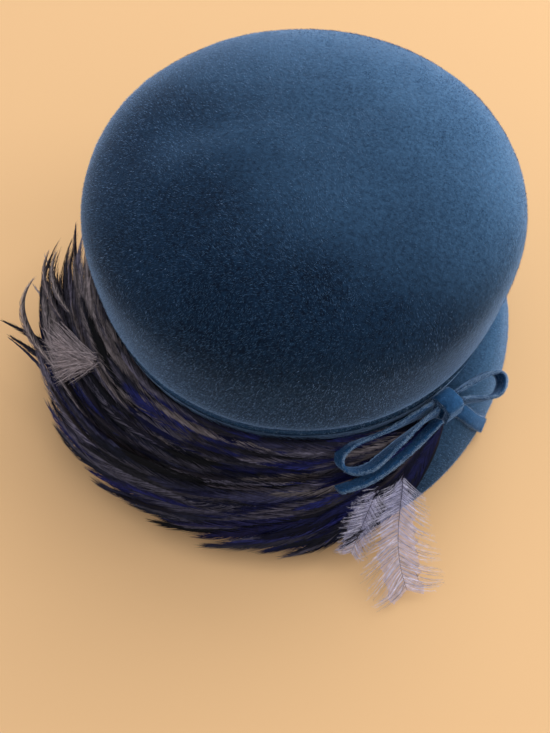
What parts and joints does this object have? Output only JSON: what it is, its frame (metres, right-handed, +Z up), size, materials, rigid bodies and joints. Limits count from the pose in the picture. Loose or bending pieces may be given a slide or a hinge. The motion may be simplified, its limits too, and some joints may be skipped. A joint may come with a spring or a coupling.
{
  "type": "cloche hat",
  "caption": "Small round-crowned felt cloche hat with a turned-down brim, a narrow felt band, a tied felt bow and a sweep of hackle feathers round the front.",
  "frame": {"origin": "centre of the head opening, in the plane the brim's edge rests on", "axes": "+Z up through the crown, -Y out of the hat's front, +X towards the bow"},
  "size_m": [0.2466, 0.2606, 0.119],
  "materials": {
    "velour_felt": "brushed velour nap",
    "felt_strip": "raw-edged felt",
    "hackle": "dyed cock hackle, silky",
    "down": "pale translucent down"
  },
  "bodies": {
    "root": {"crown": "velour_felt", "brim": "velour_felt", "band": "felt_strip", "bow_knot": "felt_strip", "bow_loop_left": "felt_strip", "bow_loop_right": "felt_strip", "bow_tail_left": "felt_strip", "bow_tail_right": "felt_strip", "feather_pad": "hackle", "down_feather_long": "down", "down_feather_short": "down"}
  },
  "joints": []
}
